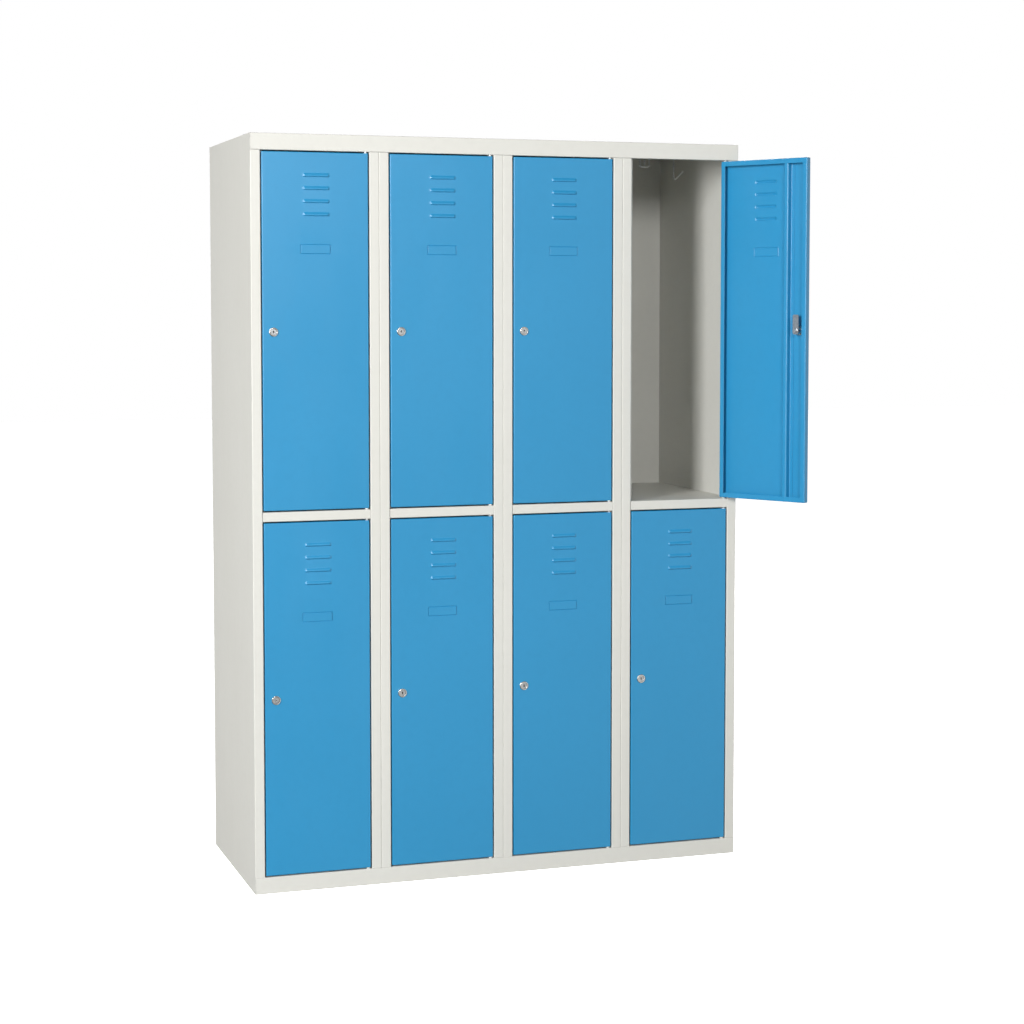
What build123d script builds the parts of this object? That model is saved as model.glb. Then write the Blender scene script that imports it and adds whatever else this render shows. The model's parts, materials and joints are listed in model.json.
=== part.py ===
from build123d import *
import os

# A sheet-steel locker cabinet: columns of two lockers, one above the other, each with a hinged pan door.
# X runs to the right as seen from the front, Y runs into the cabinet and Z is up.
# The origin is the centre of the footprint, on the floor. Lengths are in millimetres, angles in degrees.

# Cabinet
columns = 4
pitch = 300.0
height = 1740.0
depth = 490.0
sheet = 0.8
bend = 2.0
pan_bend = 1.5
butt_gap = 0.3
top_rail = 38.0
mid_rail = 22.0
bottom_rail = 38.0
stile = 23.0
stile_return = 16.0
rail_return = 17.0
rail_lip = 6.0
stop_lip = 8.0
back_flange = 15.0
side_flange = 12.0
base_return = 20.0
weld_flange = 30.0
wall_hole_radius = 4.5
wall_hole_drop = 100.0

# Doors
door_gap = 3.0
door_depth = 15.0
door_return = 12.0
open_angle = 120.0
hinge_inset = 5.5
hinge_setback = 5.0
pin_radius = 2.3
pin_reach = 10.0
pin_head_radius = 3.0
pin_head = 1.5
pin_clearance = 0.05
bush_radius = 3.4
bush_length = 6.0
bush_flange_radius = 4.0
top_bush_flange = 1.2
bottom_bush_flange = 2.7
hinge_plate_length = 34.0
hinge_plate = 2.0

# Louvres and label field, measured down from the top of the door's opening
louvre_count = 4
louvre_width = 62.0
louvre_shift = 2.0
louvre_height = 9.5
louvre_proud = 3.0
louvre_lip = 2.5
louvre_first = 59.0
louvre_pitch = 29.5
label_width = 71.0
label_height = 23.0
label_drop = 222.5
label_corner = 2.5
label_line = 1.8
label_groove = 0.5

# Locks
lock_inset = 51.0
lock_face_radius = 10.5
lock_face = 3.0
lock_barrel_radius = 8.0
lock_barrel_end = 18.7
lock_nut_flats = 20.0
lock_nut = 4.0
plug_radius = 6.0
plug_clearance = 0.06
plug_shoulder_radius = 7.0
plug_shoulder = 1.3
plug_recess = 0.8
axial_clearance = 0.3
keyway_width = 2.4
keyway_length = 6.5
keyway_depth = 14.0
cam_start = 19.0
cam_thickness = 2.0
cam_width = 16.0
cam_reach = 38.5
cam_tail = 8.0
cam_corner = 4.0
cam_square = 7.0
cam_stud_radius = 3.0
cam_stud = 4.5
cam_nut_flats = 10.0
cam_nut = 3.5

# Door stiffener, a hat section
stiffener_near = 170.0
stiffener_far = 205.0
stiffener_height = 13.1
stiffener_crown_near = 183.0
stiffener_crown_far = 194.0
stiffener_slope = 1.0
stiffener_bend = 2.5

# Coat hooks, bent from round wire
wire_radius = 2.0
hook_plate = 1.5
hook_plate_width = 14.0
hook_plate_depth = 22.0
single_hook_inset = 234.0
single_hook_drop = 75.0
single_hook_arm = 25.5
single_hook_bend = 4.0
double_hook_inset = 155.0
double_hook_drop = 40.0
double_hook_half = 12.5
double_hook_prong = 26.0
double_hook_bend = 6.0

# Places that follow from the dimensions above
width = columns * pitch
front = -depth / 2
back = depth / 2
inside_back = back - 2 * sheet - butt_gap
opening_width = pitch - 2 * stile
opening_height = (height - top_rail - mid_rail - bottom_rail) / 2
lower_floor = bottom_rail
upper_floor = bottom_rail + opening_height + mid_rail
door_width = opening_width - 2 * door_gap
door_height = opening_height - 2 * door_gap
stop_front = front + stile_return
inside_front = front + stile_return + 3.0
tiers = {"lower": lower_floor, "upper": upper_floor}
ceilings = {"lower": upper_floor - sheet, "upper": height - sheet}
open_door = ("upper", columns - 1)


def column_left(column):
    """X of a column's left-hand edge."""
    return -width / 2 + column * pitch


def hinge_x(column):
    """X of the axis that both doors of a column turn about."""
    return column_left(column) + pitch - stile - door_gap - hinge_inset


hinge_y = front + hinge_setback


def block(x0, x1, y0, y1, z0, z1):
    """A rectangular solid between two corners."""
    middle = ((x0 + x1) / 2, (y0 + y1) / 2, (z0 + z1) / 2)
    return Pos(*middle) * Box(x1 - x0, y1 - y0, z1 - z0)


def strip(points, side, radius=bend):
    """The section of a strip of sheet that is bent along a line of points."""
    line = FilletPolyline(*points, radius=radius)
    return make_face(offset(line, amount=sheet, side=side, closed=True))


def upright(points, side, bottom, top, radius=bend):
    """A strip of sheet standing up, bent along points in plan."""
    return extrude(Pos(0, 0, bottom) * strip(points, side, radius), amount=top - bottom)


def lengthwise(points, side, left, right):
    """A strip of sheet lying along X, bent along points in (Y, Z)."""
    return extrude(Plane.YZ.offset(left) * strip(points, side), amount=right - left)


def rod(x, y, z0, z1, radius):
    """A vertical round bar."""
    return Pos(x, y, (z0 + z1) / 2) * Cylinder(radius, z1 - z0)


def bar(x, z, y0, y1, radius):
    """A round bar that runs from front to back."""
    return Pos(x, (y0 + y1) / 2, z) * Rot(X=90) * Cylinder(radius, y1 - y0)


def prism(x, z, y0, y1, flats):
    """A hexagonal bar that runs from front to back."""
    outline = RegularPolygon(flats / 2, 6, major_radius=False)
    return extrude(Plane.XZ.offset(-y0) * Pos(x, z) * outline, amount=y0 - y1)


def wire(points, radius):
    """Round wire bent along points."""
    line = FilletPolyline(*points, radius=radius)
    section = Plane(origin=line @ 0, z_dir=line % 0) * Circle(wire_radius)
    return sweep(section, path=line)


# ---- Cabinet body ----


def side_panel(sign):
    """An outer side with its front stile and back flange; the left one also carries the strike lip."""
    edge = sign * width / 2
    inner = edge - sign * stile
    points = [
        (edge - sign * back_flange, back),
        (edge, back),
        (edge, front),
        (inner, front),
        (inner, stop_front),
    ]
    if sign < 0:
        points.append((inner + stop_lip, stop_front))
    side = Side.LEFT if sign < 0 else Side.RIGHT
    folded = upright(points, side, bottom_rail + butt_gap, height - top_rail - butt_gap)
    if sign < 0:
        folded -= rail_notch(inner)
    outer, inside = sorted((edge, edge - sign * sheet))
    for low, high in ((0, bottom_rail + butt_gap), (height - top_rail - butt_gap, height)):
        folded += block(outer, inside, front, back, low, high)
    return folded


def rail_notch(inner):
    """The gap in a strike lip that lets the shelf's front rail through."""
    low = upper_floor - mid_rail - butt_gap
    return block(inner, inner + 2 * stop_lip, front, inside_front, low, upper_floor + butt_gap)


def partition(seam):
    """The wall between two columns, folded at the front into the right-hand column's strike stile."""
    inner = seam + stile
    points = [
        (seam, inside_back),
        (seam, front),
        (inner, front),
        (inner, stop_front),
        (inner + stop_lip, stop_front),
    ]
    folded = upright(points, Side.LEFT, bottom_rail + butt_gap, height - top_rail - butt_gap)
    crest = block(seam, seam + sheet, inside_front, inside_back, height / 2, height - sheet - butt_gap)
    return folded - rail_notch(inner) + crest


def hinge_stile(seam):
    """The left-hand column's hinge stile, welded along a partition."""
    inner = seam - stile
    points = [(seam, front + weld_flange), (seam, front), (inner, front), (inner, stop_front)]
    return upright(points, Side.RIGHT, bottom_rail + butt_gap, height - top_rail - butt_gap)


def hinge_holes(z, columns_used):
    """Round holes for the hinge pins, through the sheet at one height."""
    radius = pin_radius + pin_clearance
    return [rod(hinge_x(c), hinge_y, z - mid_rail / 4, z + mid_rail / 4, radius) for c in columns_used]


def top_panel():
    """The top with its front rail, a back flange as deep as that, and two side flanges."""
    edge = width / 2 - sheet - butt_gap
    rail = height - top_rail
    points = [
        (back, rail),
        (back, height),
        (front, height),
        (front, rail),
        (front + rail_return, rail),
        (front + rail_return, rail + rail_lip),
    ]
    panel = lengthwise(points, Side.LEFT, -edge, edge)
    for near in (-edge, edge - sheet):
        panel += block(near, near + sheet, inside_front, inside_back, height - side_flange, height - sheet / 2)
    for hole in hinge_holes(rail, range(columns)):
        panel -= hole
    return panel


def bottom_panel():
    """The bottom: a tray with the floor on top, the bottom rail in front and a return all round below."""
    edge = width / 2 - sheet - butt_gap
    tray = block(-edge, edge, front, back, 0, bottom_rail)
    tray = fillet(tray.edges().filter_by(Axis.X), pan_bend)
    tray -= block(-edge + sheet, edge - sheet, front + sheet, back - sheet, sheet, bottom_rail - sheet)
    inset = base_return
    tray -= block(-edge + inset, edge - inset, front + inset, back - inset, -sheet, bottom_rail - sheet)
    for hole in hinge_holes(lower_floor, range(columns)):
        tray -= hole
    return tray


def back_panel():
    """The back sheet, held inside the flanges, with two holes for fixing the cabinet to a wall."""
    edge = width / 2 - sheet - bend
    top = height - sheet - bend
    low = bottom_rail + butt_gap
    panel = block(-edge, edge, inside_back + butt_gap / 2, inside_back + butt_gap / 2 + sheet, low, top)
    for column in (0, columns - 1):
        x = column_left(column) + pitch / 2
        panel -= bar(x, height - wall_hole_drop, inside_back - sheet, back, wall_hole_radius)
    return panel


def shelf(column):
    """The floor between a column's two lockers, folded at the front into the middle rail."""
    near = column_left(column) + sheet + butt_gap
    far = column_left(column) + pitch - sheet - butt_gap
    rail_low = upper_floor - mid_rail
    points = [
        (inside_back, upper_floor - back_flange),
        (inside_back, upper_floor),
        (front, upper_floor),
        (front, rail_low),
        (front + rail_return, rail_low),
    ]
    panel = lengthwise(points, Side.LEFT, near, far)
    opening_near = column_left(column) + stile + butt_gap
    opening_far = column_left(column) + pitch - stile - butt_gap
    for x0, x1 in ((near, opening_near), (opening_far, far)):
        panel -= block(x0, x1, front, inside_front, rail_low, upper_floor)
    weld_start = front + weld_flange + door_gap
    for x in (near, far - sheet):
        panel += block(x, x + sheet, weld_start, inside_back, upper_floor - side_flange, upper_floor - sheet / 2)
    for z in (rail_low, upper_floor):
        for hole in hinge_holes(z, [column]):
            panel -= hole
    return panel


def hinge_pins():
    """Two riveted pivot pins for each door, one above it and one below."""
    pins = []
    for floor in tiers.values():
        ceiling = floor + opening_height
        for column in range(columns):
            x = hinge_x(column)
            top = rod(x, hinge_y, ceiling - door_gap - pin_reach, ceiling + sheet, pin_radius)
            top += rod(x, hinge_y, ceiling + sheet, ceiling + sheet + pin_head, pin_head_radius)
            low = rod(x, hinge_y, floor - sheet, floor + door_gap + pin_reach, pin_radius)
            low += rod(x, hinge_y, floor - sheet - pin_head, floor - sheet, pin_head_radius)
            pins += [top, low]
    return Compound(pins)


def hook_foot(x, ceiling):
    """The plate that holds a hook up against a ceiling."""
    half_width = hook_plate_width / 2
    half_depth = hook_plate_depth / 2
    return block(x - half_width, x + half_width, -half_depth, half_depth, ceiling - hook_plate, ceiling)


def single_hook(column, ceiling):
    """A hook near the hinge side of the locker: a straight stem with one arm that rises at 45 degrees."""
    x = column_left(column) + single_hook_inset
    low = ceiling - single_hook_drop
    points = [
        (x, 0, ceiling - hook_plate / 2),
        (x, 0, low),
        (x + single_hook_arm, 0, low + single_hook_arm),
    ]
    return hook_foot(x, ceiling) + wire(points, single_hook_bend)


def double_hook(column, ceiling):
    """A hook in the middle of the locker: two prongs that rise on either side of a stem."""
    x = column_left(column) + double_hook_inset
    low = ceiling - double_hook_drop
    points = [
        (x - double_hook_half, 0, low + double_hook_prong),
        (x - double_hook_half, 0, low),
        (x + double_hook_half, 0, low),
        (x + double_hook_half, 0, low + double_hook_prong),
    ]
    stem = rod(x, 0, low, ceiling - hook_plate / 2, wire_radius)
    return hook_foot(x, ceiling) + stem + wire(points, double_hook_bend)


def hooks(make):
    """One hook of a kind for every locker."""
    return Compound([make(c, ceiling) for ceiling in ceilings.values() for c in range(columns)])


# ---- Doors, all built closed ----


def door_edges(column, floor):
    """The closed door's left, right, bottom and top."""
    left = column_left(column) + stile + door_gap
    low = floor + door_gap
    return left, left + door_width, low, low + door_height


def lock_centre(column, floor):
    """X and Z of the lock's axis."""
    return column_left(column) + lock_inset, floor + opening_height / 2


def louvre(middle, bottom):
    """A hood pressed out of the door skin, and the space under it that opens downwards."""
    half = louvre_width / 2
    hood_points = [
        (front + sheet, bottom + louvre_height),
        (front, bottom + louvre_height),
        (front - louvre_proud, bottom + louvre_lip),
        (front - louvre_proud, bottom),
        (front + sheet, bottom),
    ]
    space_points = [
        (front + 2 * sheet, bottom + louvre_height - louvre_lip),
        (front + sheet, bottom + louvre_height - louvre_lip),
        (front + sheet - louvre_proud, bottom + louvre_lip),
        (front + sheet - louvre_proud, bottom - sheet),
        (front + 2 * sheet, bottom - sheet),
    ]
    hood = extrude(Plane.YZ.offset(middle - half) * make_face(Polyline(*hood_points, close=True)), amount=2 * half)
    clear = half - sheet
    outline = make_face(Polyline(*space_points, close=True))
    return hood, extrude(Plane.YZ.offset(middle - clear) * outline, amount=2 * clear)


def door_panel(column, floor):
    """A pan door: skin, four sides and a return all round, with louvres, a label field and a lock hole."""
    left, right, low, high = door_edges(column, floor)
    rear = front + door_depth
    panel = fillet(block(left, right, front, rear, low, high).edges(), pan_bend)
    panel -= block(left + sheet, right - sheet, front + sheet, rear - sheet, low + sheet, high - sheet)
    inset = door_return
    panel -= block(left + inset, right - inset, front + sheet, rear + sheet, low + inset, high - inset)
    middle = column_left(column) + pitch / 2
    ceiling = floor + opening_height
    for number in range(louvre_count):
        hood, space = louvre(middle + louvre_shift, ceiling - louvre_first - number * louvre_pitch)
        panel = panel + hood - space
    label = Pos(middle, ceiling - label_drop) * (
        RectangleRounded(label_width, label_height, label_corner)
        - RectangleRounded(label_width - 2 * label_line, label_height - 2 * label_line, label_corner - label_line)
    )
    panel -= extrude(Plane.XZ.offset(-front) * label, amount=-label_groove)
    x, z = lock_centre(column, floor)
    panel -= bar(x, z, front - sheet, front + 2 * sheet, lock_barrel_radius + pin_clearance)
    panel -= rod(hinge_x(column), hinge_y, low - sheet, high + sheet, bush_radius + pin_clearance)
    return panel


def door_stiffener(column, floor):
    """The parts welded inside a door: the hat section beside the lock and a hinge plate at each end."""
    _, right, low, high = door_edges(column, floor)
    seat = sheet + butt_gap / 2
    section = [
        (stiffener_near, seat),
        (stiffener_crown_near - stiffener_slope, seat),
        (stiffener_crown_near, stiffener_height),
        (stiffener_crown_far, stiffener_height),
        (stiffener_crown_far + stiffener_slope, seat),
        (stiffener_far, seat),
    ]
    points = [(right - s, front + h) for s, h in section]
    inner_low = low + sheet
    inner_high = high - sheet
    hat = upright(points, Side.RIGHT, inner_low, inner_high, stiffener_bend)
    near = right - sheet - butt_gap
    rear = front + door_depth - sheet - butt_gap
    pieces = [hat]
    for z in (inner_low, inner_high - hinge_plate):
        plate = block(near - hinge_plate_length, near, front + sheet + butt_gap, rear, z, z + hinge_plate)
        hole = rod(hinge_x(column), hinge_y, z - sheet, z + hinge_plate + sheet, bush_radius + pin_clearance)
        pieces.append(plate - hole)
    return Compound(pieces)


def door_bushes(column, floor):
    """Two flanged nylon bushes, one in each end of the door, that turn on the hinge pins."""
    _, _, low, high = door_edges(column, floor)
    x = hinge_x(column)
    bore = rod(x, hinge_y, low - door_gap, high + door_gap, pin_radius + pin_clearance)
    top = rod(x, hinge_y, high - bush_length, high, bush_radius)
    top += rod(x, hinge_y, high, high + top_bush_flange, bush_flange_radius)
    bottom = rod(x, hinge_y, low, low + bush_length, bush_radius)
    bottom += rod(x, hinge_y, low - bottom_bush_flange, low, bush_flange_radius)
    return Compound([top - bore, bottom - bore])


def lock_body(column, floor):
    """The lock's housing, which goes through the door skin, and the nut that holds it."""
    x, z = lock_centre(column, floor)
    face_front = front - lock_face
    face = bar(x, z, face_front, front, lock_face_radius)
    face = fillet(face.edges().sort_by(Axis.Y)[0], lock_face / 2)
    barrel = bar(x, z, front, front + lock_barrel_end, lock_barrel_radius)
    bore = bar(x, z, face_front, front + lock_barrel_end, plug_radius + plug_clearance)
    shoulder_end = face_front + plug_recess + plug_shoulder
    counterbore = bar(x, z, face_front, shoulder_end + axial_clearance, plug_shoulder_radius + axial_clearance)
    seat = front + sheet
    nut = prism(x, z, seat, seat + lock_nut, lock_nut_flats)
    nut -= bar(x, z, seat, seat + lock_nut, lock_barrel_radius + pin_clearance)
    return Compound([face + barrel - bore - counterbore, nut])


def lock_cam(column, floor):
    """What the key turns: the plug, the cam on its square tail and the nut behind the cam. The cam points up."""
    x, z = lock_centre(column, floor)
    plug_front = front - lock_face + plug_recess
    plug_end = front + cam_start
    cam_end = plug_end + cam_thickness
    plug = bar(x, z, plug_front, plug_front + plug_shoulder, plug_shoulder_radius)
    plug += bar(x, z, plug_front + plug_shoulder, plug_end, plug_radius)
    half = cam_square / 2
    square = block(x - half, x + half, plug_end, cam_end, z - half, z + half)
    plug += square
    plug += bar(x, z, cam_end, cam_end + cam_stud, cam_stud_radius)
    keyway = RectangleRounded(keyway_width, keyway_length, keyway_width / 2.5)
    plug -= extrude(Plane.XZ.offset(-plug_front) * Pos(x, z) * keyway, amount=-keyway_depth)
    outline = RectangleRounded(cam_width, cam_reach + cam_tail, cam_corner)
    centre = Pos(x, z + (cam_reach - cam_tail) / 2)
    cam = extrude(Plane.XZ.offset(-plug_end) * centre * outline, amount=-cam_thickness) - square
    nut = prism(x, z, cam_end, cam_end + cam_nut, cam_nut_flats)
    nut -= bar(x, z, cam_end, cam_end + cam_nut, cam_stud_radius + pin_clearance)
    return Compound([plug, cam, nut])


# ---- Files, one for each node ----

nodes = {
    "side_panel_left": side_panel(-1),
    "side_panel_right": side_panel(1),
    "top_panel": top_panel(),
    "bottom_panel": bottom_panel(),
    "back_panel": back_panel(),
    "hinge_pins": hinge_pins(),
    "single_hooks": hooks(single_hook),
    "double_hooks": hooks(double_hook),
}
for number in range(1, columns):
    nodes[f"partition_{number}"] = partition(column_left(number))
    nodes[f"hinge_stile_{number}"] = hinge_stile(column_left(number))
for column in range(columns):
    nodes[f"shelf_{column + 1}"] = shelf(column)

door_pieces = {
    "panel": door_panel,
    "stiffener": door_stiffener,
    "bushes": door_bushes,
    "lock_body": lock_body,
    "lock_cam": lock_cam,
}
for tier, floor in tiers.items():
    for column in range(columns):
        hinge_axis = Axis((hinge_x(column), hinge_y, 0), (0, 0, 1))
        for piece, make in door_pieces.items():
            shape = make(column, floor)
            if (tier, column) == open_door:
                shape = shape.rotate(hinge_axis, open_angle)
            nodes[f"{tier}_door_{column + 1}_{piece}"] = shape

os.makedirs("parts", exist_ok=True)
for name, shape in nodes.items():
    export_step(shape, f"parts/{name}.step")
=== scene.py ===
import json
import math

import bmesh
import bpy
from mathutils import Matrix, Vector


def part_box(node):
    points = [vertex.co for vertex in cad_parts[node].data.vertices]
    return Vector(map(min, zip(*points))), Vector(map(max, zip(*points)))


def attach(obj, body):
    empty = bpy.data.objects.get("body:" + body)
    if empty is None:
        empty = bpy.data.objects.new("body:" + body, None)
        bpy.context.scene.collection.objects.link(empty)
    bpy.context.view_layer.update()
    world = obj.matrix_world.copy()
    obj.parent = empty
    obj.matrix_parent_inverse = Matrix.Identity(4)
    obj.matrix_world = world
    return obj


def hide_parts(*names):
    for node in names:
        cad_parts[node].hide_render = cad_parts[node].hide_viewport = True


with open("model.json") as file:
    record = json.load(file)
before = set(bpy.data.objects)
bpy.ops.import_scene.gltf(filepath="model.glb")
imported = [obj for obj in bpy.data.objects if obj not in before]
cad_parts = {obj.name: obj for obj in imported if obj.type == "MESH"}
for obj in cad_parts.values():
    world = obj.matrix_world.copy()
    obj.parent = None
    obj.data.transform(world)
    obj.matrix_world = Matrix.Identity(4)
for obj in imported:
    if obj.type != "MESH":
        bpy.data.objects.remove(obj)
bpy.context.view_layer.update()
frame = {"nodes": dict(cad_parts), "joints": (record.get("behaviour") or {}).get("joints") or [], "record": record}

# A sheet-steel locker cabinet. Lengths are in metres, in the frame of the CAD model.

MM = 0.001

# Door panels: folded sheet with louvres, a label field and a lock hole
SHEET = 0.8 * MM
BEND = 2.2 * MM
BEND_STEPS = 4
RETURN = 12 * MM
LOUVRES = 4
LOUVRE_HALF = 31 * MM
LOUVRE_SHIFT = 2 * MM
LOUVRE_RISE = 9.5 * MM
LOUVRE_PROUD = 3 * MM
LOUVRE_CREST = 0.34
LOUVRE_CURL = 0.7
LOUVRE_END = 4.5 * MM
LOUVRE_RAMP = 1.3
LOUVRE_COLUMNS = (0, 0.25, 0.5, 0.75, 0.9, 1)
LOUVRE_ROWS = (0, 0.1, 0.2, 0.3, 0.44, 0.58, 0.72, 0.86, 1)
LOUVRE_FIRST = 56 * MM
LOUVRE_PITCH = 29.5 * MM
LABEL_HALF_WIDTH = 35.5 * MM
LABEL_HALF_HEIGHT = 11.5 * MM
LABEL_DROP = 219.5 * MM
LABEL_CORNER = 2.5 * MM
LABEL_LINE = 1.6 * MM
LABEL_GROOVE = 1.6 * MM
LABEL_WALL = 0.6
LABEL_STEPS = (0, 0.25, 0.5, 0.75, 1)
LOCK_CELL = 12 * MM
LOCK_HOLE = 8.05 * MM
LOCK_HOLE_STEPS = 12

# Dividing lines and points that are closer than this count as one
SAME_LINE = 0.02 * MM
SAME_POINT = 0.001 * MM

# Soft edges on the cut sheet, the hardware and the hooks
SHEET_EDGE = 0.15 * MM
HARDWARE_EDGE = 0.3 * MM
EDGE_SEGMENTS = 2
SHARP = math.radians(35)
WELD_GAP = 0.01 * MM

# Colours: how dark the paint's specks are against its dark patches, and the light and dark of nylon and floor
SPECK_SHADE = 0.96
NYLON_COLORS = ((0.86, 0.86, 0.83), (0.78, 0.77, 0.72))
FLOOR_COLORS = ((0.94, 0.94, 0.935), (0.93, 0.93, 0.925))
WHITE = (1, 1, 1, 1)

# Where a Mix node keeps its two colours and its result
MIX_FIRST = 6
MIX_SECOND = 7
MIX_RESULT = 2

# Camera and light
CAMERA_PLACE = (-1.5776, -5.0029, 1.3513)
CAMERA_TURN = 18.576
CAMERA_DROP = 3.616
CAMERA_LENS = 74.95
CAMERA_SHIFT = -0.07
FLOOR_SIZE = 40.0
DIM_LIGHT = (0.10, 0.10, 0.10)
RIGHT_LIGHT = (1.10, 1.10, 1.06)
BACK_LIGHT = (0.60, 0.60, 0.58)
HIGH_LIGHT = (0.12, 0.125, 0.13)
FLOOR_BOUNCE = (0.34, 0.34, 0.33)
FLOOR_GLOW = 0.97
AIM = (0, 0, 0.9)
LOW_AIM = (-0.6, 0, 0.5)

joints = {joint["child"]: joint for joint in frame["joints"]}
slots = {row["node"]: row["material_slot"] for row in frame["record"]["subparts"]}
doors = [body for body in joints if "door" in body]
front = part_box("top_panel")[0].y


# ---- Materials ----


def add(tree, kind, **values):
    """A shader node with its settings and its unlinked inputs filled in."""
    made = tree.nodes.new(kind)
    for name, value in values.items():
        if name in made.inputs:
            made.inputs[name].default_value = value
        else:
            setattr(made, name, value)
    return made


def noise(tree, place, scale, detail=3.0, roughness=0.5, stretch=(1, 1, 1)):
    """Noise of one scale over the object's own coordinates, from 0 to 1."""
    mapping = add(tree, "ShaderNodeMapping", Scale=stretch)
    tree.links.new(place.outputs["Object"], mapping.inputs["Vector"])
    made = add(tree, "ShaderNodeTexNoise", Scale=scale, Detail=detail, Roughness=roughness)
    tree.links.new(mapping.outputs["Vector"], made.inputs["Vector"])
    return made.outputs["Fac"]


def spread(tree, value, low, high, start=0.3, end=0.7):
    """A value stretched from start..end to low..high."""
    made = add(tree, "ShaderNodeMapRange")
    for name, number in (("From Min", start), ("From Max", end), ("To Min", low), ("To Max", high)):
        made.inputs[name].default_value = number
    tree.links.new(value, made.inputs["Value"])
    return made.outputs["Result"]


def blend_colors(tree, value, first, second):
    """A colour between two, by a value from 0 to 1. Either may be a colour or another node's output."""
    made = add(tree, "ShaderNodeMix", data_type="RGBA")
    tree.links.new(value, made.inputs["Factor"])
    for socket, color in ((made.inputs[MIX_FIRST], first), (made.inputs[MIX_SECOND], second)):
        if isinstance(color, tuple):
            socket.default_value = (*color, 1.0)
        else:
            tree.links.new(color, socket)
    return made.outputs[MIX_RESULT]


def bump(tree, value, strength, distance, under=None):
    """A bump from a value, over another bump if there is one."""
    made = add(tree, "ShaderNodeBump", Strength=strength, Distance=distance)
    tree.links.new(value, made.inputs["Height"])
    if under is not None:
        tree.links.new(under, made.inputs["Normal"])
    return made.outputs["Normal"]


def new_material(name):
    """A material with its node tree, its shader and the object's own coordinates."""
    material = bpy.data.materials.new(name)
    material.use_nodes = True
    tree = material.node_tree
    shader = tree.nodes["Principled BSDF"]
    return material, tree, shader, add(tree, "ShaderNodeTexCoord")


def powder_coat(name, light, dark, gloss, specular):
    """Satin powder coat: fine orange peel over slow waves in the sheet, with patches a little duller and darker."""
    material, tree, shader, place = new_material(name)
    patches = noise(tree, place, scale=2.2, detail=2.0)
    mottle = noise(tree, place, scale=60.0, detail=4.0)
    tone = blend_colors(tree, spread(tree, patches, 0.0, 1.0), light, dark)
    speck = tuple(channel * SPECK_SHADE for channel in dark)
    tone = blend_colors(tree, spread(tree, mottle, 0.0, 0.35, start=0.45, end=0.75), tone, speck)
    tree.links.new(tone, shader.inputs["Base Color"])
    smears = noise(tree, place, scale=9.0, detail=5.0, roughness=0.6, stretch=(1, 1, 0.35))
    tree.links.new(spread(tree, smears, gloss - 0.04, gloss + 0.06), shader.inputs["Roughness"])
    waves = noise(tree, place, scale=5.0, detail=1.0)
    peel = noise(tree, place, scale=700.0, detail=2.0)
    normal = bump(tree, waves, strength=0.25, distance=0.002)
    normal = bump(tree, peel, strength=0.22, distance=0.00012, under=normal)
    tree.links.new(normal, shader.inputs["Normal"])
    shader.inputs["Specular IOR Level"].default_value = specular
    return material


def plated_metal(name, light, dark, gloss, grain):
    """Plated steel: bright metal with cloudy patches, fine scratches and a slightly uneven surface."""
    material, tree, shader, place = new_material(name)
    clouds = noise(tree, place, scale=grain, detail=3.0)
    tree.links.new(blend_colors(tree, spread(tree, clouds, 0.0, 1.0), light, dark), shader.inputs["Base Color"])
    scratches = noise(tree, place, scale=2500.0, detail=2.0, stretch=(1, 1, 0.06))
    tree.links.new(spread(tree, scratches, gloss - 0.06, gloss + 0.1), shader.inputs["Roughness"])
    normal = bump(tree, clouds, strength=0.2, distance=0.0002)
    normal = bump(tree, scratches, strength=0.12, distance=0.00005, under=normal)
    tree.links.new(normal, shader.inputs["Normal"])
    shader.inputs["Metallic"].default_value = 1.0
    return material


def nylon():
    """Natural white nylon, slightly see-through, with a fine moulded grain."""
    material, tree, shader, place = new_material("white_nylon")
    clouds = noise(tree, place, scale=400.0)
    tone = blend_colors(tree, spread(tree, clouds, 0.0, 1.0), *NYLON_COLORS)
    tree.links.new(tone, shader.inputs["Base Color"])
    tree.links.new(spread(tree, clouds, 0.38, 0.5), shader.inputs["Roughness"])
    tree.links.new(bump(tree, clouds, strength=0.15, distance=0.0001), shader.inputs["Normal"])
    shader.inputs["Subsurface Weight"].default_value = 0.15
    shader.inputs["Subsurface Scale"].default_value = 0.001
    return material


materials = {
    "cabinet_paint": powder_coat(
        "cabinet_paint", light=(0.66, 0.655, 0.612), dark=(0.64, 0.633, 0.588), gloss=0.42, specular=0.45
    ),
    "door_paint": powder_coat(
        "door_paint", light=(0.019, 0.257, 0.500), dark=(0.017, 0.246, 0.480), gloss=0.34, specular=0.7
    ),
    "nickel": plated_metal("nickel", light=(0.80, 0.79, 0.76), dark=(0.66, 0.65, 0.62), gloss=0.2, grain=500.0),
    "zinc_plate": plated_metal(
        "zinc_plate", light=(0.68, 0.69, 0.70), dark=(0.52, 0.53, 0.55), gloss=0.34, grain=260.0
    ),
    "hook_wire": plated_metal(
        "hook_wire", light=(0.74, 0.75, 0.76), dark=(0.58, 0.59, 0.61), gloss=0.28, grain=300.0
    ),
    "white_nylon": nylon(),
}


def finish_node(node):
    """Gives a CAD node its material, smooth bends and slightly soft edges."""
    piece = frame["nodes"][node]
    piece.data.materials.clear()
    piece.data.materials.append(materials[slots[node]])
    piece.data.polygons.foreach_set("use_smooth", [True] * len(piece.data.polygons))
    welded = piece.modifiers.new("weld", "WELD")
    welded.merge_threshold = WELD_GAP
    soften(piece, SHEET_EDGE if "paint" in slots[node] else HARDWARE_EDGE)


def soften(piece, width):
    """Small bevels on a piece's sharp edges, and normals that keep its flat faces flat."""
    edge = piece.modifiers.new("soft edge", "BEVEL")
    edge.width = width
    edge.segments = EDGE_SEGMENTS
    edge.limit_method = "ANGLE"
    edge.angle_limit = SHARP
    edge.miter_outer = "MITER_ARC"
    keep_flat(piece)


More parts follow.
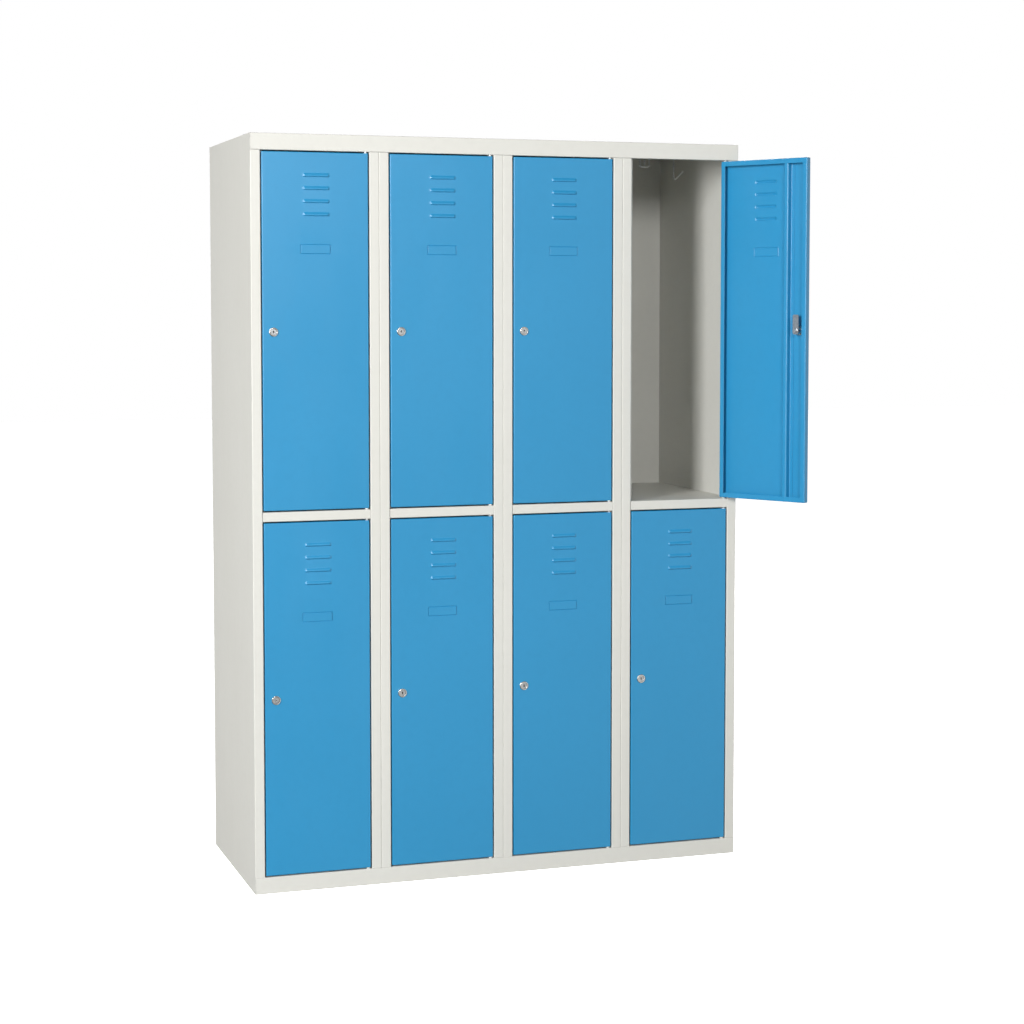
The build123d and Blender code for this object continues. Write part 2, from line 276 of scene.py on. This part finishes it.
def keep_flat(piece):
    """Smooth shading that leaves large flat faces flat."""
    flat = piece.modifiers.new("flat faces", "WEIGHTED_NORMAL")
    flat.keep_sharp = True
    flat.weight = 100


# ---- Door panels ----


def door_corner(door):
    """The lower left front corner of a door when it is closed."""
    low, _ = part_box("lower_door_1_panel")
    offset = low - Vector(joints["lower_door_1"]["pos_m"])
    place = Vector(joints[door]["pos_m"])
    return Vector((place.x + offset.x, front, place.z + offset.z))


def hang(piece, door):
    """Moves a piece built from a closed door's corner to where the door stands at rest, and hangs it there."""
    hinge = joints[door]
    axis = Matrix.Translation(hinge["pos_m"])
    closed = hinge["range_deg"][0]
    turn = Matrix.Rotation(math.radians(-closed), 4, "Z")
    piece.data.transform(axis @ turn @ axis.inverted() @ Matrix.Translation(door_corner(door)))
    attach(piece, door)


def door_size():
    """Width, height and depth of a door."""
    low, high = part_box("lower_door_1_panel")
    return high.x - low.x, high.z - low.z, high.y - front


def from_middle(middle, offsets):
    """Positions on both sides of a middle."""
    return [middle + sign * offset for sign in (-1, 1) for offset in offsets]


def skin_columns(width):
    """Across the door: where the skin's faces are divided."""
    middle = width / 2
    lock = lock_place()[0]
    ends = [LOUVRE_END * share for share in LOUVRE_COLUMNS]
    lines = from_middle(middle + LOUVRE_SHIFT, [LOUVRE_HALF - end for end in ends])
    lines += from_middle(middle, [LABEL_HALF_WIDTH - step for step in label_steps()])
    lines += [BEND, width - BEND, lock - LOCK_CELL, lock + LOCK_CELL]
    return tidy(lines)


def skin_rows(height):
    """Up the door: where the skin's faces are divided."""
    lines = [BEND, height - BEND, lock_place()[1] - LOCK_CELL, lock_place()[1] + LOCK_CELL]
    for slit in louvre_slits(height):
        lines += [slit + LOUVRE_RISE * share for share in LOUVRE_ROWS]
    lines += from_middle(height - LABEL_DROP, [LABEL_HALF_HEIGHT - step for step in label_steps()])
    return tidy(lines)


def tidy(lines):
    """Sorted positions, without near repeats."""
    kept = []
    for line in sorted(lines):
        if not kept or line - kept[-1] > SAME_LINE:
            kept.append(line)
    return kept


def label_steps():
    """How far inside the label field's outline its lines run."""
    return [LABEL_LINE * share for share in LABEL_STEPS] + [LABEL_CORNER]


def louvre_slits(height):
    """The height of each louvre's lower edge, where the skin is slit."""
    return [height - LOUVRE_FIRST - number * LOUVRE_PITCH for number in range(LOUVRES)]


def lock_place():
    """Across and up: where the lock's axis goes through the skin."""
    corner = door_corner("lower_door_1")
    lock = Vector(joints["lower_lock_1"]["pos_m"])
    return lock.x - corner.x, lock.z - corner.z


def louvre_depth(across, up, slit):
    """How far a louvre's hood stands out: it swells from its top, slopes at its ends and curls in at the slit."""
    rise = (up - slit) / LOUVRE_RISE
    inside = LOUVRE_HALF - abs(across)
    if inside <= 0 or not 0 <= rise <= 1:
        return 0.0
    end = max(0.0, 1 - inside / LOUVRE_END)
    reach = 1 - end ** LOUVRE_RAMP
    if rise > LOUVRE_CREST:
        swell = 0.5 + 0.5 * math.cos(math.pi * (rise - LOUVRE_CREST) / (1 - LOUVRE_CREST))
    else:
        swell = 1 - LOUVRE_CURL * (1 - rise / LOUVRE_CREST) ** 2
    return LOUVRE_PROUD * swell * reach


def label_depth(across, up):
    """How deep the rounded outline of the label field is pressed in."""
    x = abs(across) - LABEL_HALF_WIDTH + LABEL_CORNER
    z = abs(up) - LABEL_HALF_HEIGHT + LABEL_CORNER
    outside = math.hypot(max(x, 0.0), max(z, 0.0)) + min(max(x, z), 0.0) - LABEL_CORNER
    along = -outside / LABEL_LINE
    if not 0 <= along <= 1:
        return 0.0
    return LABEL_GROOVE * math.sin(along * math.pi) ** LABEL_WALL


def skin_point(across, up, width, height, above):
    """A point of the skin. At a slit, above picks the hood's edge instead of the flat skin below it."""
    middle = across - width / 2
    depth = label_depth(middle, up - height + LABEL_DROP)
    for slit in louvre_slits(height):
        if up > slit or above:
            depth -= louvre_depth(middle - LOUVRE_SHIFT, up, slit)
    return across, depth, up


class Shell:
    """A surface built face by face, in which equal points are one vertex."""

    def __init__(self):
        self.mesh = bmesh.new()
        self.seen = {}

    def point(self, place):
        """The vertex at a place, made once."""
        key = tuple(round(value / SAME_POINT) for value in place)
        if key not in self.seen:
            self.seen[key] = self.mesh.verts.new(place)
        return self.seen[key]

    def face(self, places):
        """A face over some places. Repeated corners count once, and a face with no area is left out."""
        corners = []
        for place in places:
            vertex = self.point(place)
            if vertex not in corners:
                corners.append(vertex)
        if len(corners) > 2:
            self.mesh.faces.new(corners)

    def finish(self, name, material):
        """The finished mesh, smooth and with its material."""
        data = bpy.data.meshes.new(name)
        self.mesh.to_mesh(data)
        self.mesh.free()
        data.materials.append(material)
        data.polygons.foreach_set("use_smooth", [True] * len(data.polygons))
        return data


def lay_skin(shell, width, height):
    """The front of the door, in faces between its lines, with the louvres, the label field and the lock hole."""
    columns = skin_columns(width)
    rows = skin_rows(height)
    lock_x, lock_z = lock_place()
    for low, high in zip(rows, rows[1:]):
        for left, right in zip(columns, columns[1:]):
            if left < lock_x < right and low < lock_z < high:
                lay_lock_cell(shell, left, right, low, high)
                continue
            corners = ((left, low, True), (right, low, True), (right, high, False), (left, high, False))
            shell.face([skin_point(x, z, width, height, above) for x, z, above in corners])


def lay_lock_cell(shell, left, right, low, high):
    """The square of skin round the lock hole, in four faces."""
    x, z = lock_place()
    corners = [(right, high), (left, high), (left, low), (right, low)]
    for side in range(4):
        first, second = corners[side], corners[(side + 1) % 4]
        face = [(first[0], 0, first[1]), (second[0], 0, second[1])]
        for step in range(LOCK_HOLE_STEPS, -1, -1):
            angle = math.radians(45 + 90 * (side + step / LOCK_HOLE_STEPS))
            face.append((x + LOCK_HOLE * math.cos(angle), 0, z + LOCK_HOLE * math.sin(angle)))
        shell.face(face)


def border(width, height):
    """The skin's border, anticlockwise from its lower left: each point with the way out, fanned at the corners."""
    columns = skin_columns(width)
    rows = skin_rows(height)
    sides = [
        ([(x, rows[0]) for x in columns], 270),
        ([(columns[-1], z) for z in rows], 0),
        ([(x, rows[-1]) for x in reversed(columns)], 90),
        ([(columns[0], z) for z in reversed(rows)], 180),
    ]
    loop = []
    for points, angle in sides:
        loop += [(point, angle) for point in points]
        fan = [angle + 90 * step / BEND_STEPS for step in range(1, BEND_STEPS)]
        loop += [(points[-1], turned) for turned in fan]
    return loop


def fold_steps(depth):
    """The fold from the skin round to the inner edge of the return: how far out of the border, and how deep."""
    angles = [math.radians(90 * step / BEND_STEPS) for step in range(BEND_STEPS + 1)]
    front_bend = [(BEND * math.sin(a), BEND * (1 - math.cos(a))) for a in angles]
    rear_bend = [(BEND * math.cos(a), depth - BEND * (1 - math.sin(a))) for a in angles]
    return front_bend + rear_bend + [(BEND - RETURN, depth)]


def fold_point(place, angle, out, deep, width, height):
    """A point of the fold. Inside the border, the corners meet at a mitre."""
    x, z = place
    if out >= 0:
        turn = math.radians(angle)
        return x + out * math.cos(turn), deep, z + out * math.sin(turn)
    inner_x = min(max(x, BEND - out), width - BEND + out)
    inner_z = min(max(z, BEND - out), height - BEND + out)
    return inner_x, deep, inner_z


def lay_folds(shell, width, height, depth):
    """The door's four sides and the return behind them."""
    loop = border(width, height)
    steps = fold_steps(depth)
    for (place, angle), (next_place, next_angle) in zip(loop, loop[1:] + loop[:1]):
        for (out, deep), (next_out, next_deep) in zip(steps, steps[1:]):
            shell.face([
                fold_point(place, angle, next_out, next_deep, width, height),
                fold_point(next_place, next_angle, next_out, next_deep, width, height),
                fold_point(next_place, next_angle, out, deep, width, height),
                fold_point(place, angle, out, deep, width, height),
            ])


def door_mesh():
    """The shape that all eight door panels share, from the closed door's lower left front corner."""
    width, height, depth = door_size()
    shell = Shell()
    lay_skin(shell, width, height)
    lay_folds(shell, width, height, depth)
    return shell.finish("door_panel", materials["door_paint"])


def make_door_panels():
    """A pan door for each door body, in place of its CAD panel."""
    shape = door_mesh()
    for door in doors:
        piece = bpy.data.objects.new(f"{door}_skin", shape.copy())
        bpy.context.scene.collection.objects.link(piece)
        hang(piece, door)
        thick = piece.modifiers.new("sheet", "SOLIDIFY")
        thick.thickness = SHEET
        thick.offset = -1
        thick.use_even_offset = True
        keep_flat(piece)
        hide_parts(f"{door}_panel")


# ---- Floor, light and camera ----


def make_floor():
    """A plain pale floor that the cabinet stands on."""
    material, tree, shader, place = new_material("pale_floor")
    clouds = noise(tree, place, scale=1.5)
    path = add(tree, "ShaderNodeLightPath")
    tone = blend_colors(tree, spread(tree, clouds, 0.0, 1.0), *FLOOR_COLORS)
    tone = blend_colors(tree, path.outputs["Is Camera Ray"], FLOOR_BOUNCE, tone)
    tree.links.new(tone, shader.inputs["Base Color"])
    tree.links.new(spread(tree, clouds, 0.7, 0.8), shader.inputs["Roughness"])
    shader.inputs["Specular IOR Level"].default_value = 0.1
    shader.inputs["Emission Color"].default_value = WHITE
    glow = spread(tree, path.outputs["Is Camera Ray"], 0.0, FLOOR_GLOW, start=0.0, end=1.0)
    tree.links.new(glow, shader.inputs["Emission Strength"])
    bpy.ops.mesh.primitive_plane_add(size=FLOOR_SIZE, location=(0, 0, 0))
    floor = bpy.context.object
    floor.name = "floor"
    floor.data.materials.append(material)
    floor.visible_glossy = False


def make_softbox(name, place, target, size, power):
    """A rectangular area light that faces a target."""
    light = bpy.data.lights.new(name, "AREA")
    light.shape = "RECTANGLE"
    light.size, light.size_y = size
    light.energy = power
    lamp = bpy.data.objects.new(name, light)
    lamp.location = place
    lamp.rotation_euler = (Vector(target) - Vector(place)).to_track_quat("-Z", "Y").to_euler()
    lamp.visible_camera = False
    bpy.context.scene.collection.objects.link(lamp)


def make_world():
    """Soft light from the right and behind, little from the left and above, with a white background."""
    world = bpy.data.worlds.new("studio")
    world.use_nodes = True
    tree = world.node_tree
    tree.nodes.clear()
    place = add(tree, "ShaderNodeTexCoord")
    axes = add(tree, "ShaderNodeSeparateXYZ")
    tree.links.new(place.outputs["Generated"], axes.inputs["Vector"])
    right = spread(tree, axes.outputs["X"], 0.0, 1.0, start=0.05, end=0.55)
    behind = spread(tree, axes.outputs["Y"], 0.0, 1.0, start=0.3, end=0.8)
    rise = spread(tree, axes.outputs["Z"], 0.0, 1.0, start=0.2, end=0.5)
    tone = blend_colors(tree, right, DIM_LIGHT, RIGHT_LIGHT)
    tone = blend_colors(tree, behind, tone, BACK_LIGHT)
    tone = blend_colors(tree, rise, tone, HIGH_LIGHT)
    path = add(tree, "ShaderNodeLightPath")
    seen = add(tree, "ShaderNodeBackground", Color=WHITE, Strength=1.0)
    ambient = add(tree, "ShaderNodeBackground", Strength=1.0)
    tree.links.new(tone, ambient.inputs["Color"])
    mix = add(tree, "ShaderNodeMixShader")
    output = add(tree, "ShaderNodeOutputWorld")
    tree.links.new(path.outputs["Is Camera Ray"], mix.inputs["Fac"])
    tree.links.new(ambient.outputs["Background"], mix.inputs[1])
    tree.links.new(seen.outputs["Background"], mix.inputs[2])
    tree.links.new(mix.outputs["Shader"], output.inputs["Surface"])
    bpy.context.scene.world = world


def make_camera():
    """The camera, above the middle of the cabinet and to its left, looking slightly down."""
    lens = bpy.data.cameras.new("camera")
    lens.lens = CAMERA_LENS
    lens.shift_y = CAMERA_SHIFT
    camera = bpy.data.objects.new("camera", lens)
    camera.location = CAMERA_PLACE
    camera.rotation_euler = (math.radians(90 - CAMERA_DROP), 0, math.radians(-CAMERA_TURN))
    bpy.context.scene.collection.objects.link(camera)
    bpy.context.scene.camera = camera


for node in frame["nodes"]:
    finish_node(node)
make_door_panels()
make_floor()
make_world()
make_softbox("key", place=(-4.7, -4.35, 2.5), target=AIM, size=(1.3, 2.8), power=420)
make_softbox("front", place=(-0.7, -7.9, 3.3), target=AIM, size=(1.4, 1.4), power=182)
make_softbox("low", place=(-2.8, 1.2, 0.3), target=LOW_AIM, size=(1.2, 0.6), power=7)
make_softbox("fill", place=(4.0, 6.0, 3.5), target=AIM, size=(3.0, 3.0), power=400)
make_camera()
bpy.context.scene.view_settings.view_transform = "Standard"
